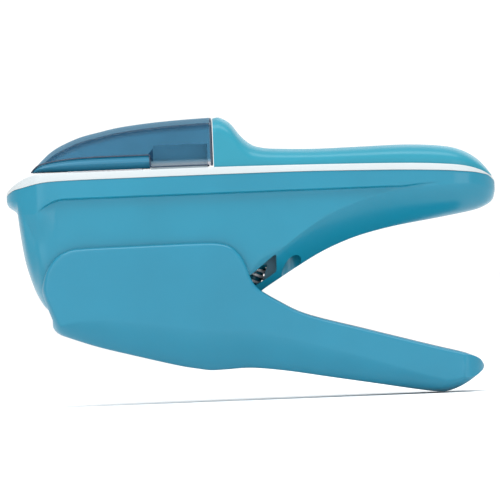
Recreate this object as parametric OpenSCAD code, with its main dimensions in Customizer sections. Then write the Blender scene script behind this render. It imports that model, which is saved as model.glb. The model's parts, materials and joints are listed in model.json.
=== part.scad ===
// Hand-held, plier-type staple-free paper binder.
// Squeezing the lower handle turns a steel rocker, which lifts a punch carriage through the paper table.
// X runs from the nose (negative) to the tail, Y across, Z up. The paper table is level at table_z.

/* [Width] */
// Half width over the body's side panels
panel_half = 15.4; // [15.2:0.1:15.6]
// How far the body's flange stands proud of the panels
flange_step = 1.8; // [1.2:0.1:2]
// Gap between a side panel and the handle's ear
ear_gap = 0.4; // [0.3:0.05:0.5]
// Thickness of the handle's ears and side walls
ear_t = 2.2; // [2:0.1:2.4]

/* [Walls] */
// Wall of the body shell
body_wall = 2.2; // [1.8:0.1:2.4]
// Floor of the handle
handle_floor = 2.4; // [2:0.1:2.4]
// Wall of the grip cover
grip_wall = 1.8; // [1.4:0.1:2]
// Wall of the clear window cover
window_wall = 1.5; // [1.2:0.1:1.6]

/* [Paper slot] */
// Height of the paper slot
slot_h = 0.9; // [0.8:0.1:1.1]
// Place of the paper stop, measured along the body
paper_stop_x = -30.3; // [-31:0.1:-30]

/* [Handle] */
// Diameter of the handle's pivot pin and the rocker's pivot pin
pivot_pin_d = 4; // [3.6:0.1:4.2]
// Radial running clearance on the pivot pins
pivot_gap = 0.05; // [0.03:0.01:0.1]
// Diameter of the handle's drive pin
drive_pin_d = 5; // [4.6:0.1:5]

/* [Punch] */
// Lift of the punch carriage at full squeeze
punch_stroke = 7.8; // [7:0.1:8]
// Width of the tongue punch
punch_w = 6.6; // [6:0.1:6.8]
// Wall of the tongue punch
punch_wall = 0.9; // [0.7:0.1:1]
// Clearance between cutting parts and their dies
die_gap = 0.25; // [0.2:0.05:0.4]

/* [Springs] */
// Outer diameter of the return spring
return_od = 8.2; // [7.6:0.1:8.4]
// Wire of the return spring
return_wire = 1; // [0.7:0.1:1.1]
// Turns of the return spring
return_turns = 15; // [10:1:15]

/* [Hidden] */
$fn = 48;
eps = 0.01;
arc_steps = 5;

TEAL = [0.27, 0.62, 0.74];
SMOKE = [0.25, 0.42, 0.52, 0.6];
WHITE = [0.93, 0.93, 0.95];
STEEL = [0.72, 0.73, 0.75];
BLADE = [0.6, 0.62, 0.65];

// Heights of the level stretch of the frame
table_z = 72;
seam = 0.1;
frame_low_z = 69.5;
flange_z = 63.6;
riser_z = table_z + 2.1;
cheek_z = 78.9;
jaw_z = table_z + slot_h;

// Half widths
flange_half = panel_half + flange_step;
frame_half = flange_half + 0.2;
ear_in = panel_half + ear_gap;
ear_out = ear_in + ear_t;
window_half = 15.6;
riser_half = window_half - window_wall - 0.4;
jaw_half = window_half - 0.5;
jaw_tail_half = 6.3;
cheek_t = 3.9;
grip_half = 16.4;

// Ends of the object
nose_x = -75;
tail_x = 75;
nose_r = 10;
tail_r = 13;

// Pivots, as [x, z]
handle_pivot = [-52.8, 35.6];
rocker_pivot = [-9, 47];
punch_x = -43;
rocker_reach = rocker_pivot[0] - punch_x;
rocker_turn = 2 * asin(punch_stroke / 2 / rocker_reach);
crosshead_z = rocker_pivot[1] - punch_stroke / 2;
drive_pin_at = [-32.3, 37.9];
body_arc_r = 11.6;
lip_arc_r = body_arc_r + 0.5;
lip_end_x = handle_pivot[0] - 1.4;
hook_r = 1.7;

// Bracket on the sloping floor of the handle
floor_tilt = 15.4;
bracket_at = [-32, 0, 15.72];
bracket_plate = [-12.5, 8.2];
bracket_screw_x = [-9.8, 5.6];

// Carriage
carriage_top = 59.2;
carriage_mid = 48.2;
carriage_low = 38.6;
punch_tip = 71;
punch_base = 54.5;
punch_front = punch_x - 4;
punch_back = punch_x + 1.8;
blade_at = punch_x + 5.2;
blade_t = 0.6;
blade_w = 7.4;
fold_pivot = [punch_x - 0.6, 53];
fold_arm_half = 1.9;
spring_seat_y = 7.4;
guide_seat = 67.5;
guide_flange = [-55.1, -30.4];
GUIDE_SCREWS = [[-53.6, 9.4], [-53.6, -9.4], [-32, 9.4], [-32, -9.4]];

// Return spring: its top at [x, z], its length and its lean towards the nose at the foot
return_top = [0.9, 41];
return_length = 30;
return_lean = 16.7;
return_boss_r = 2.5;
return_post = 11.5;
return_seat_r = return_od / 2 + 0.4;
shelf_t = 1.8;

// Case screws, as [x, y, seat height, thread top]
SCREWS = [
    [11.6, 8.4, 57.5, 70], [11.6, -8.4, 57.5, 70], [60, 0, 60, 72],
    [-58.8, 8.6, 58, 67.5], [-58.8, -8.6, 58, 67.5]
];
well_r = 3.3;
screw_head_r = 2.8;
screw_r = 1.5;
jaw_screw_at = [-22, 3.6];
jaw_screw_top = 77.6;

// Side view lines as [x, z]
frame_top_line = [
    [-75, 66.2], [-72.4, 68.9], [-69.3, 70.7], [-66.5, 71.7], [-62, 72], [-54, 72], [-34, 72],
    [-10, 72], [20, 71.6], [46, 71], [58.7, 70.3], [66, 69.4], [71, 67.8], [74, 65.9], [75, 64.6]
];
frame_low_line = [
    [-75, 65.6], [-72.5, 67.3], [-70, 68.1], [-66, 69.1], [-62, 69.5], [-54, 69.5], [-34, 69.5],
    [-6, 69.5], [16, 69.5], [31, 69.2], [46, 68.8], [58.7, 68.2], [66, 67.5], [69.5, 66.9],
    [72.4, 65.8], [74.2, 64.7], [75, 63.9]
];
window_line = [
    [-67, 72.6], [-64.5, 74.9], [-61.3, 77.9], [-58, 79.9], [-52, 82.3], [-45.6, 83.8], [-39.4, 85],
    [-30, 85.9], [-20, 86.5], [-11.3, 86.8]
];
grip_line = [
    [-10.8, 86.8], [-8.4, 86.6], [-5.5, 84.9], [-2.6, 80.8], [0.4, 78.2], [3.4, 77.1], [8, 76.5],
    [20, 76.1], [34, 76.2], [48, 76.3], [58.9, 75.5], [65, 74], [69.5, 71.3], [73, 68]
];

// The same lines as smooth curves
frame_top = smooth(frame_top_line);
frame_low = smooth(frame_low_line);
window_top = smooth(window_line, 2);
grip_top = smooth(grip_line, 2);

// Body stations from nose to tail: [x, lowest z, corner width, corner height]
body_low_z = handle_pivot[1] - body_arc_r;
BODY = [
    [-75, 62.4, 5, 1.2], [-74.2, 61.4, 6, 2], [-72.6, 60.1, 7, 3], [-71.9, 58, 9, 5],
    [-71.3, 54, 10, 9], [-70.4, 47.2, 10, 14], [-69.3, 42, 10, 16], [-67.3, 35.8, 10, 17],
    [-65, 31.6, 9, 15], [-63, 29.8, 8, 12],
    for (x = [-61.5, -59.5, -57, -53]) [x, arc_z(x, body_arc_r), 5, 5],
    [-14, body_low_z, 5, 5], [-5, 27.6, 6, 6], [2.3, 33.4, 9, 8.6], [8, 36.8, 10.2, 9],
    [14.3, 40.7, 10.4, 9], [20.6, 44.2, 10.4, 9], [27, 47, 10.4, 9], [34, 49.2, 10.4, 8.8],
    [44, 51.4, 10.4, 8.6], [58, 53.6, 10, 8.4], [68, 55.3, 9, 7], [72, 56.6, 7, 5],
    [74.2, 58.4, 5, 3], [75, 60.6, 4, 1.5]
];
// Inside of the body: [x, floor z, corner width, corner height]
BODY_IN = [
    [-70.4, 62.5, 4, 2], [-69.4, 58, 7, 5], [-68.6, 51, 8, 10], [-67.3, 44, 8, 13], [-65, 37.5, 8, 14],
    [-62.5, 33, 7, 11], [-60, 29.6, 5, 6],
    for (x = [-57, -53]) [x, arc_z(x, body_arc_r) + body_wall, 3, 3],
    [-14, body_low_z + body_wall, 3, 3], [-5, 30.2, 4, 4], [2.3, 36.2, 7, 6.6], [8, 39.4, 8.4, 7.4],
    [14.3, 43.1, 8.6, 7.4], [27, 49.2, 8.6, 7.2], [44, 53.6, 8.6, 7], [58, 55.8, 8, 6.6],
    [68, 57.6, 6, 5], [71.5, 60, 4, 3]
];

// Handle stations: [x, lowest z, corner]
HANDLE = [
    [-66, 26, 4], [-62.4, 24.8, 4], [-61, 23, 5.5], [-57.4, 21, 7.5], [-48.3, 17.8, 8], [-36, 14.3, 8],
    [-24, 11, 8], [-14.7, 9.3, 8], [-5, 9.4, 8], [1, 9.3, 8], [7, 8.4, 8], [19, 6.2, 8],
    [31.3, 3.9, 8], [43.6, 1.7, 8], [55.8, 0, 8], [59, 0.3, 7.6], [62, 1.4, 7], [65.2, 3, 6],
    [68.4, 5.4, 4], [69.6, 7.4, 2.4]
];
handle_tail_x = 69.6;
handle_tail_r = 9;
// Outline of the handle's ears and side walls above the floor
EAR = [
    [-62.4, 25], [-63.5, 28.4], [-64.7, 32], [-65, 35.6], [-64.2, 39.8], [-62.6, 43], [-60.2, 46],
    [-57.2, 47.6], [-53.3, 48.3], [-33, 48.4], [-11.8, 48.4], [-8.1, 47.6], [-5.2, 45.7], [-2.9, 42.2],
    [-1.6, 38.2], [-0.6, 36], [2.8, 32.6], [7.8, 29.4], [13.7, 26.5], [19.8, 24.2], [32, 20.6],
    [44, 17.1], [56.4, 13.7], [65.4, 11.3], [68.4, 9.8], [69.6, 7.4]
];

// ---- functions ----
function arc_z(x, r) = handle_pivot[1] - sqrt(r * r - pow(x - handle_pivot[0], 2));
function nose_half(x, w, x0, r) = x < x0 + r ? w - r + sqrt(max(0, r * r - pow(x0 + r - x, 2))) : w;
function plan_half(x, w, front, front_r, back, back_r) =
    min(nose_half(x, w, front, front_r), nose_half(-x, w, -back, back_r));
function flat(list) = [for (a = list) for (b = a) b];

// Smooth curve through points: a Catmull-Rom span each, cut into steps
function span(a, b, c, d, t) =
    0.5 * (2 * b + (c - a) * t + (2 * a - 5 * b + 4 * c - d) * t * t
        + (3 * b - a - 3 * c + d) * t * t * t);
function smooth(p, steps = 3) = [
    for (i = [0 : len(p) - 2]) for (s = [0 : steps - 1])
        span(p[max(i - 1, 0)], p[i], p[i + 1], p[min(i + 2, len(p) - 1)], s / steps),
    p[len(p) - 1]
];
function reversed(p) = [for (i = [len(p) - 1 : -1 : 0]) p[i]];

// Right half of a rounded U, from the rim down to the flat bottom, as [y, z]
function corner(w, low, cy, cz) = [
    for (i = [0 : arc_steps]) let(a = 90 * i / arc_steps) [w - cy + cy * cos(a), low + cz - cz * sin(a)]
];
function half_u(w, rim, low, cy, cz) = concat([[w, rim]], corner(w, low, cy, cz));
function ring(x, half) = concat(
    [for (p = half) [x, p[0], p[1]]],
    [for (p = reversed(half)) [x, -p[0], p[1]]]
);
// The same ring for a section drawn upside down
function mirrored_ring(x, half) = [for (p = reversed(ring(x, half))) [p[0], p[1], -p[2]]];

// ---- shared shapes ----
// Solid through rings that each run down the right side and up the left
module loft(rings) {
    n = len(rings[0]);
    last = (len(rings) - 1) * n;
    sides = [
        for (i = [0 : len(rings) - 2]) for (j = [0 : n - 1])
            let(a = i * n + j, b = i * n + (j + 1) % n) each [[a, b, b + n], [a, b + n, a + n]]
    ];
    front = [for (k = [0 : n / 2 - 2]) each [[k, n - 1 - k, n - 2 - k], [k, n - 2 - k, k + 1]]];
    back = [for (f = front) [last + f[2], last + f[1], last + f[0]]];
    polyhedron(flat(rings), concat(sides, front, back), convexity = 8);
}

module side_prism(outline, half) {
    rotate([90, 0, 0]) linear_extrude(2 * half, center = true) polygon(outline);
}

// Cylinder along Y, centred on the middle plane
module cross_pin(at, r, half) {
    translate([at[0], 0, at[1]]) rotate([90, 0, 0]) cylinder(r = r, h = 2 * half, center = true);
}

// The same cylinder on both sides, between two distances from the middle plane
module cross_boss(at, r, from, to) {
    for (s = [-1, 1])
        translate([at[0], s * (from + to) / 2, at[1]])
            rotate([90, 0, 0]) cylinder(r = r, h = to - from, center = true);
}

module block(x, y, z) {
    translate([x[0], y[0], z[0]]) cube([x[1] - x[0], y[1] - y[0], z[1] - z[0]]);
}

module slab(x, half, z) { block(x, [-half, half], z); }

// Coil spring standing at [x, y] between two heights
module coil(at, low, high, od, wire, turns) {
    sides = 8;
    steps = 14;
    r = (od - wire) / 2;
    count = turns * steps;
    rise = high - low - wire;
    rings = [
        for (i = [0 : count]) let(a = 360 * i / steps, z = low + wire / 2 + rise * i / count)
            [for (j = [0 : sides - 1]) let(b = 360 * j / sides)
                [at[0] + (r + wire / 2 * cos(b)) * cos(a), at[1] + (r + wire / 2 * cos(b)) * sin(a),
                 z + wire / 2 * sin(b)]]
    ];
    tube = [
        for (i = [0 : count - 1]) for (j = [0 : sides - 1])
            let(a = i * sides + j, b = i * sides + (j + 1) % sides)
                each [[a, b + sides, b], [a, a + sides, b + sides]]
    ];
    cap = [for (j = [1 : sides - 2]) [0, j, j + 1]];
    cap_end = [for (f = cap) [count * sides + f[0], count * sides + f[2], count * sides + f[1]]];
    polyhedron(flat(rings), concat(tube, cap, cap_end), convexity = 8);
}

module pan_screw(seat, top, head_r, r, head_h) {
    translate([0, 0, seat]) cylinder(r = r, h = top - seat);
    difference() {
        translate([0, 0, seat - head_h]) cylinder(r = head_r, h = head_h);
        translate([0, 0, seat - head_h])
            for (a = [0, 90]) rotate(a) cube([head_r * 1.2, head_r * 0.28, head_h], center = true);
    }
}

// ---- body ----
module body_outer() {
    loft([
        for (s = BODY)
            let(
                rim = lookup(s[0], frame_low) - seam,
                wide = plan_half(s[0], flange_half, nose_x - 0.6, nose_r, tail_x + 0.8, tail_r),
                panel = min(wide - 0.02, plan_half(s[0], panel_half, -73, 9, tail_x + 0.4, tail_r)),
                step = max(flange_z, s[1] + s[3] + 0.9),
                flange = [[wide, rim], [wide, step], [panel, step - 0.6]]
            )
            ring(s[0], concat(flange, corner(panel, s[1], s[2], s[3])))
    ]);
}

module body_inner() {
    loft([
        for (s = BODY_IN)
            let(panel = plan_half(s[0], panel_half, -73, 9, tail_x + 0.4, tail_r) - body_wall)
            ring(s[0], half_u(panel, table_z + 4, s[1], s[2], s[3]))
    ]);
}

// Opening in the keel that shows the return spring
module spring_window() {
    side_prism([[-2, 34.4], [3, 36], [7, 38.8], [7, 44.2], [4, 41.7], [-3, 37.5]], ear_out);
}

// Children placed with their origin at the top of the return spring and Z along its coil
module at_return_spring() {
    translate([return_top[0], 0, return_top[1]]) rotate([0, return_lean, 0]) children();
}

// Sloping seat for the return spring's top, with a post inside the coil
module spring_seat() {
    at_return_spring() {
        translate([0, 0, 0.02]) cylinder(r = return_seat_r, h = 1.2);
        translate([0, 0, -return_post]) cylinder(r = return_boss_r, h = return_post + 1);
    }
}

// Rib behind the return spring, joined to the screw towers
module spring_rib() {
    intersection() {
        side_prism([[3.6, 33], [5.4, 41.5], [5.4, 46], [9, 46], [9, 33]], 1);
        body_outer();
    }
}

module body_shell() {
    color(TEAL) difference() {
        union() {
            difference() {
                body_outer();
                body_inner();
            }
            cross_boss(handle_pivot, 4.4, 10.6, panel_half - 0.6);
            cross_boss(rocker_pivot, 4.2, 7.9, panel_half - 0.6);
            for (s = SCREWS) intersection() {
                translate([s[0], s[1], 20]) cylinder(r = well_r + 1.2, h = s[2] - 20 + 1.6);
                body_outer();
            }
            slab([-5, 7], panel_half - 1, [return_top[1], return_top[1] + shelf_t]);
        }
        cross_pin(handle_pivot, pivot_pin_d / 2 + pivot_gap / 2, ear_out);
        cross_pin(rocker_pivot, pivot_pin_d / 2 + pivot_gap / 2, panel_half - 1);
        // Bottom opening for the drive bracket, and the slot for the return spring behind it
        slab([-48.5, -6.6], 12, [20, 33]);
        slab([-11, 6.4], 5.4, [20, return_top[1] - eps]);
        at_return_spring() translate([0, 0, -3]) cylinder(r = return_seat_r, h = 3);
        spring_window();
        for (s = SCREWS) {
            translate([s[0], s[1], 10]) cylinder(r = well_r, h = s[2] - 10);
            translate([s[0], s[1], 10]) cylinder(r = screw_r + 0.15, h = 70);
        }
    }
    color(TEAL) spring_rib();
    color(TEAL) spring_seat();
}

// ---- frame with the paper table ----
module frame_plan(w) {
    translate([0, 0, 60]) linear_extrude(20) polygon(concat(
        [for (x = [-75, -74.6, -73.8, -72.4, -70.5, -68, -65, 62, 66, 69.5, 72.5, 74.3, 75])
            [x, plan_half(x, w, nose_x - 0.4, nose_r, tail_x + 0.6, tail_r)]],
        [for (x = [75, 74.3, 72.5, 69.5, 66, 62, -65, -68, -70.5, -72.4, -73.8, -74.6, -75])
            [x, -plan_half(x, w, nose_x - 0.4, nose_r, tail_x + 0.6, tail_r)]]
    ));
}

module die_openings(low, high, gap) {
    slab([punch_front - gap, punch_back + gap + 0.2], punch_w / 2 + gap, [low, high]);
    slab([blade_at - blade_t / 2 - gap, blade_at + blade_t / 2 + gap], blade_w / 2 + gap, [low, high]);
    slab([punch_back, blade_at], fold_arm_half + gap, [low, high]);
}

module chassis_frame() {
    color(WHITE) difference() {
        union() {
            intersection() {
                side_prism(concat(frame_top, reversed(frame_low)), frame_half + 1);
                frame_plan(frame_half);
            }
            // Paper stop, with a cheek and a small boss on each side of the jaw's tail
            slab([paper_stop_x, -12.9], riser_half, [table_z - 1, riser_z]);
            for (s = [-1, 1])
                translate([0, s * (jaw_tail_half + 0.3 + cheek_t / 2), 0])
                    slab([paper_stop_x + 0.8, -12.9], cheek_t / 2, [table_z, cheek_z]);
            cross_boss([-26.1, 75.1], 0.7, jaw_tail_half + 1, jaw_tail_half + cheek_t + 0.8);
            for (s = [SCREWS[3], SCREWS[4]])
                translate([s[0], s[1], 60.2]) cylinder(r = 3.4, h = frame_low_z - 60.2 + 0.5);
        }
        // Pocket for the lower die plate, with the passage for the punch below it
        slab([-56.1, -32.9], 12.1, [table_z - 1.5, table_z + 1]);
        slab([punch_front - 1, blade_at + 1.4], 5, [60, table_z]);
        // Openings that lighten the frame under the grip cover
        slab([-4, 7], 11, [60, 80]);
        slab([16.5, 54], 11, [60, 80]);
        for (s = [SCREWS[3], SCREWS[4]])
            translate([s[0], s[1], 60]) cylinder(r = screw_r - 0.15, h = 8);
        for (s = [SCREWS[0], SCREWS[1], SCREWS[2]])
            translate([s[0], s[1], 60]) cylinder(r = 3.7, h = 20);
        for (s = [-1, 1])
            translate([jaw_screw_at[0], s * jaw_screw_at[1], 60]) cylinder(r = screw_r + 0.15, h = 20);
        for (p = GUIDE_SCREWS)
            translate([p[0], p[1], 60]) cylinder(r = 0.85, h = 10.6);
    }
}

// ---- covers ----
module grip_cover() {
    color(TEAL) difference() {
        union() {
            difference() {
                loft([
                    for (p = grip_top)
                        let(
                            w = plan_half(p[0], grip_half, -60, 1, 74.4, tail_r),
                            rim = lookup(p[0], frame_top) + seam,
                            z = max(p[1], rim + 0.3),
                            half = half_u(w, -rim, -z, min(7, w - 1), min(4.4, (z - rim) * 0.7))
                        )
                        mirrored_ring(p[0], half)
                ]);
                loft([
                    for (x = [-9, -5.5, -2.6, 0.4, 3.4, 8, 20, 34, 48, 58.9, 65, 69])
                        let(
                            w = plan_half(x, grip_half, -60, 1, 74.4, tail_r) - grip_wall,
                            rim = lookup(x, frame_top) - 1,
                            z = lookup(x, grip_top) - grip_wall - (x < 4 ? 0.9 : 0)
                        )
                        mirrored_ring(x, half_u(w, -rim, -z, 5, min(3, (z - rim) * 0.6)))
                ]);
            }
            for (s = [SCREWS[0], SCREWS[1], SCREWS[2]])
                translate([s[0], s[1], s[2] + 1.7]) cylinder(r = 3.4, h = 74.6 - s[2] - 1.7);
        }
        for (s = [SCREWS[0], SCREWS[1], SCREWS[2]])
            translate([s[0], s[1], 50]) cylinder(r = screw_r - 0.15, h = s[3] - 50 + 0.3);
    }
}

// Stations on the window's top line, from one place to another
function window_stations(from, to) = concat(
    [[from, lookup(from, window_top)]],
    [for (p = window_top) if (p[0] > from + 0.5 && p[0] < to - 0.5) p],
    [[to, lookup(to, window_top)]]
);

module window_solid(inset, rim, to) {
    loft([
        for (p = window_stations(-66.9 + inset * 1.6, to))
            let(
                w = nose_half(p[0], window_half, -71, 9) - inset,
                z = max(p[1] - inset, rim + 0.3),
                half = half_u(w, -rim, -z, 5 - inset, min(3.4 - inset / 2, (z - rim) * 0.8))
            )
            mirrored_ring(p[0], half)
    ]);
}

module window_cover() {
    notch_back = paper_stop_x - 0.3;
    color(SMOKE) difference() {
        window_solid(0, table_z + seam, -11.3);
        window_solid(window_wall, table_z - 1, -12.6);
        side_prism([
            [-70, 60], [-70, 73.5], [-65.6, 73.5], [-63, 75], [-58.3, 75.6], [-50, 76],
            [notch_back, 76], [notch_back, 60]
        ], frame_half);
    }
}

// Plan view of the jaw: straight sides and a rounded nose
module jaw_plan() {
    stations = [-66, -64, -62, -58, -30];
    translate([0, 0, 60]) linear_extrude(30) polygon(concat(
        [for (x = stations) [x, nose_half(x, jaw_half, -71, 9)]],
        [for (x = reversed(stations)) [x, -nose_half(x, jaw_half, -71, 9)]]
    ));
}

module upper_jaw() {
    back = paper_stop_x - 0.6;
    color(TEAL) difference() {
        union() {
            intersection() {
                side_prism([
                    [-65.6, jaw_z], [back, jaw_z], [back, 75.8], [-50, 75.8], [-58.3, 75.4],
                    [-63, 74.8], [-65.4, 73.4]
                ], jaw_half);
                jaw_plan();
            }
            slab([back - 0.9, -12.9], jaw_tail_half, [riser_z, cheek_z - 0.3]);
        }
        slab([punch_front - 1.4, blade_at + 1.6], 4.8, [60, 79.8]);
        slab([-56.1, -33.9], 11.1, [60, jaw_z + 1.25]);
        for (s = [-1, 1])
            translate([jaw_screw_at[0], s * jaw_screw_at[1], 60])
                cylinder(r = screw_r - 0.15, h = jaw_screw_top - 60 + 0.3);
    }
}

// ---- steel dies and guide ----
module upper_die_plate() {
    color(STEEL) difference() {
        slab([-56, -34], 11, [jaw_z, jaw_z + 1.2]);
        die_openings(jaw_z - 1, jaw_z + 3, die_gap);
    }
}

module lower_die_plate() {
    color(STEEL) difference() {
        slab([-56, -33], 12, [table_z - 1.4, table_z]);
        die_openings(table_z - 3, table_z + 1, die_gap);
    }
}

module guide_frame() {
    carriage_x = [punch_x - 7.2, punch_x + 7.2];
    color(WHITE) difference() {
        union() {
            slab(guide_flange, 11.8, [guide_seat, frame_low_z]);
            slab([carriage_x[0] - 1.8, carriage_x[1] + 1.8], 11.8, [48, guide_seat + 1]);
        }
        slab(carriage_x, 10.2, [40, guide_seat]);
        slab([punch_front - 1, blade_at + 1.4], 5, [60, 80]);
        slab([carriage_x[1] - 1, carriage_x[1] + 3], 8.4, [40, 56.5]);
        for (p = GUIDE_SCREWS)
            translate([p[0], p[1], 60]) cylinder(r = 1.1, h = 20);
    }
}

// ---- pins and screws ----
module handle_pivot_pin() { color(STEEL) cross_pin(handle_pivot, pivot_pin_d / 2, ear_in + 1.2); }

module rocker_pivot_pin() { color(STEEL) cross_pin(rocker_pivot, pivot_pin_d / 2, panel_half - 1.1); }

module case_screws() {
    color(STEEL) for (s = SCREWS)
        translate([s[0], s[1], 0]) pan_screw(s[2] - 0.02, s[3], screw_head_r, screw_r - 0.2, 2.2);
}

module jaw_screws() {
    color(STEEL) for (s = [-1, 1])
        translate([jaw_screw_at[0], s * jaw_screw_at[1], 0])
            pan_screw(frame_low_z - 0.02, jaw_screw_top, 2.6, screw_r - 0.2, 1.6);
}

module guide_screws() {
    color(STEEL) for (p = GUIDE_SCREWS)
        translate([p[0], p[1], 0]) pan_screw(guide_seat - 0.02, 70.4, 1.6, 0.8, 1.1);
}

// ---- springs ----
module return_spring() {
    color(STEEL) at_return_spring()
        coil([0, 0], -return_length, 0, return_od, return_wire, return_turns);
}

module carriage_springs() {
    color(STEEL) for (s = [-1, 1])
        coil([punch_x, s * spring_seat_y], carriage_top - 9.4, guide_seat, 4, 0.5, 8);
}

// ---- handle ----
module handle_envelope(half, lift, inset, front, back) {
    loft([
        for (s = HANDLE)
            if (s[0] > front && s[0] < back)
            let(w = plan_half(s[0], half, -90, 5, handle_tail_x + 1.5, handle_tail_r))
            ring(s[0], half_u(w, 60, s[1] + lift, s[2] - inset, s[2] - inset))
    ]);
}

// Children placed at the bracket's two screws, with Z square to the handle's floor
module at_bracket_screws() {
    translate(bracket_at) rotate([0, floor_tilt, 0])
        for (dx = bracket_screw_x) translate([dx, 0, 0]) children();
}

module handle_shell() {
    wall = ear_out - ear_in;
    color(TEAL) {
        difference() {
            intersection() {
                handle_envelope(ear_out, 0, 0, -70, 70);
                side_prism(concat(smooth(EAR, 2), [[70, -1], [-62.4, -1]]), ear_out + 1);
            }
            difference() {
                handle_envelope(ear_in, handle_floor, wall, -59, 67);
                slab([-60, lip_end_x], ear_in + 1, [-1, arc_z(lip_end_x, lip_arc_r)]);
            }
            // Room for the body's rounded nose between the ears
            cross_pin(handle_pivot, lip_arc_r, ear_in);
            slab([-75, -62.2], ear_in, [-1, 60]);
            slab([-63, -53], ear_in, [handle_pivot[1] - 7.6, 60]);
            cross_pin(handle_pivot, pivot_pin_d / 2 + pivot_gap, ear_in + 1.3);
            at_bracket_screws() translate([0, 0, -2]) cylinder(r = 0.9, h = 4);
            at_return_spring() translate([0, 0, -return_length]) cylinder(r = return_seat_r, h = 4);
        }
        at_return_spring() translate([0, 0, -return_length - 1.4]) {
            cylinder(r = return_seat_r, h = 1.38);
            cylinder(r = return_boss_r, h = 4.4);
        }
    }
}

module drive_bracket() {
    color(STEEL) difference() {
        union() {
            translate(bracket_at) rotate([0, floor_tilt, 0]) slab(bracket_plate, 10.3, [0, 1.5]);
            for (s = [-1, 1]) translate([0, s * 9.55, 0]) rotate([90, 0, 0])
                linear_extrude(1.5, center = true) hull() {
                    translate(drive_pin_at) circle(r = 3.4);
                    polygon([[-39, 18.6], [-25, 14.8], [-25, 15.2], [-39, 19]]);
                }
        }
        cross_pin(drive_pin_at, drive_pin_d / 2 + 0.02, 12);
        at_bracket_screws() translate([0, 0, -1]) cylinder(r = 1.3, h = 4);
    }
}

module drive_pin() {
    color(STEEL) difference() {
        cross_pin(drive_pin_at, drive_pin_d / 2, 12);
        clip_ring(drive_pin_d / 2 - 0.5, drive_pin_d);
    }
}

// Ring grooves near the drive pin's ends
module clip_ring(r_in, r_out) {
    for (s = [-1, 1]) difference() {
        translate([drive_pin_at[0], s * 11, drive_pin_at[1]])
            rotate([90, 0, 0]) cylinder(r = r_out, h = 0.7, center = true);
        translate([drive_pin_at[0], s * 11, drive_pin_at[1]])
            rotate([90, 0, 0]) cylinder(r = r_in, h = 2, center = true);
    }
}

module drive_pin_clips() {
    color(STEEL) difference() {
        for (s = [-1, 1]) translate([drive_pin_at[0], s * 11, drive_pin_at[1]])
            rotate([90, 0, 0]) cylinder(r = 4, h = 0.6, center = true);
        cross_pin(drive_pin_at, drive_pin_d / 2 - 0.45, 13);
        slab([drive_pin_at[0] - 1.7, drive_pin_at[0] + 1.7], 13, [drive_pin_at[1] - 5, drive_pin_at[1]]);
    }
}

module bracket_screws() {
    color(STEEL) at_bracket_screws() mirror([0, 0, 1]) pan_screw(-1.52, 1.9, 2.2, 0.8, 1.2);
}

// ---- rocker ----
module rocker_lever() {
    tilt = asin((rocker_pivot[1] - crosshead_z) / norm([rocker_reach, punch_stroke / 2]));
    reach = norm([rocker_reach, punch_stroke / 2]);
    hook_end = 0.7 - reach;
    depth = 3.4;
    color(STEEL) translate([rocker_pivot[0], 0, rocker_pivot[1]]) rotate([0, -tilt, 0]) difference() {
        union() {
            for (s = [-1, 1]) {
                block([-reach - 3.4, 0], [s * 6.75 - 0.75, s * 6.75 + 0.75], [-depth, depth]);
                translate([0, s * 6.75, 0]) rotate([90, 0, 0]) cylinder(r = 4.8, h = 1.5, center = true);
            }
            slab([-24, -6.4], 7.5, [depth - 1.5, depth]);
        }
        rotate([90, 0, 0]) cylinder(r = pivot_pin_d / 2 + pivot_gap, h = 20, center = true);
        slab([-reach - 5, hook_end], 9, [-hook_r, hook_r]);
        translate([hook_end, 0, 0]) rotate([90, 0, 0]) cylinder(r = hook_r, h = 20, center = true);
    }
}

// ---- punch carriage ----
module punch_carriage() {
    color(STEEL) difference() {
        union() {
            slab([punch_x - 7, punch_x + 7], 10, [carriage_mid, carriage_top]);
            slab([punch_x - 5, punch_x + 4.5], 5.5, [carriage_low, carriage_mid + 1]);
        }
        slab([punch_front - 0.1, punch_back + 0.1], punch_w / 2 + 0.1, [punch_base - 0.1, 70]);
        slab([punch_x - 2.6, punch_x + 3.8], 2.1, [50.4, 70]);
        slab([blade_at - blade_t / 2 - 0.05, blade_at + blade_t / 2 + 0.05], blade_w / 2 + 0.1,
            [punch_base - 0.1, 70]);
        for (s = [-1, 1])
            translate([punch_x, s * spring_seat_y, carriage_top - 9.45]) cylinder(r = 2.3, h = 20);
        cross_pin([punch_x, crosshead_z], 1.51, 12);
        cross_pin(fold_pivot, 0.81, 5);
    }
}

// Tongue cutter: a pointed U, open towards the slit blade, its edge raked back from the point
module tongue_punch() {
    w = punch_w / 2;
    color(BLADE) difference() {
        translate([0, 0, punch_base]) linear_extrude(punch_tip - punch_base) difference() {
            polygon([[punch_front, -0.8], [punch_front, 0.8], [punch_front + 2.2, w], [punch_back, w],
                [punch_back, -w], [punch_front + 2.2, -w]]);
            polygon([[punch_front + punch_wall, -0.5], [punch_front + punch_wall, 0.5],
                [punch_front + 2.6, w - punch_wall], [punch_back + 1, w - punch_wall],
                [punch_back + 1, punch_wall - w], [punch_front + 2.6, punch_wall - w]]);
        }
        side_prism([
            [punch_front, punch_tip], [punch_back + 1, punch_tip - 2.2], [punch_back + 1, punch_tip + 2],
            [punch_front, punch_tip + 2]
        ], 6);
    }
}

// Slit blade with the window that catches the paper tongue
module slit_blade() {
    color(BLADE) rotate([90, 0, 90]) translate([0, 0, blade_at - blade_t / 2]) linear_extrude(blade_t)
        difference() {
            polygon([[-blade_w / 2, punch_base], [blade_w / 2, punch_base], [blade_w / 2, punch_tip - 2],
                [0, punch_tip - 0.4], [-blade_w / 2, punch_tip - 2]]);
            translate([-2.6, punch_tip - 5.6]) square([5.2, 2.4]);
        }
}

module crosshead_pin() { color(STEEL) cross_pin([punch_x, crosshead_z], 1.5, 8.2); }

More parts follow.
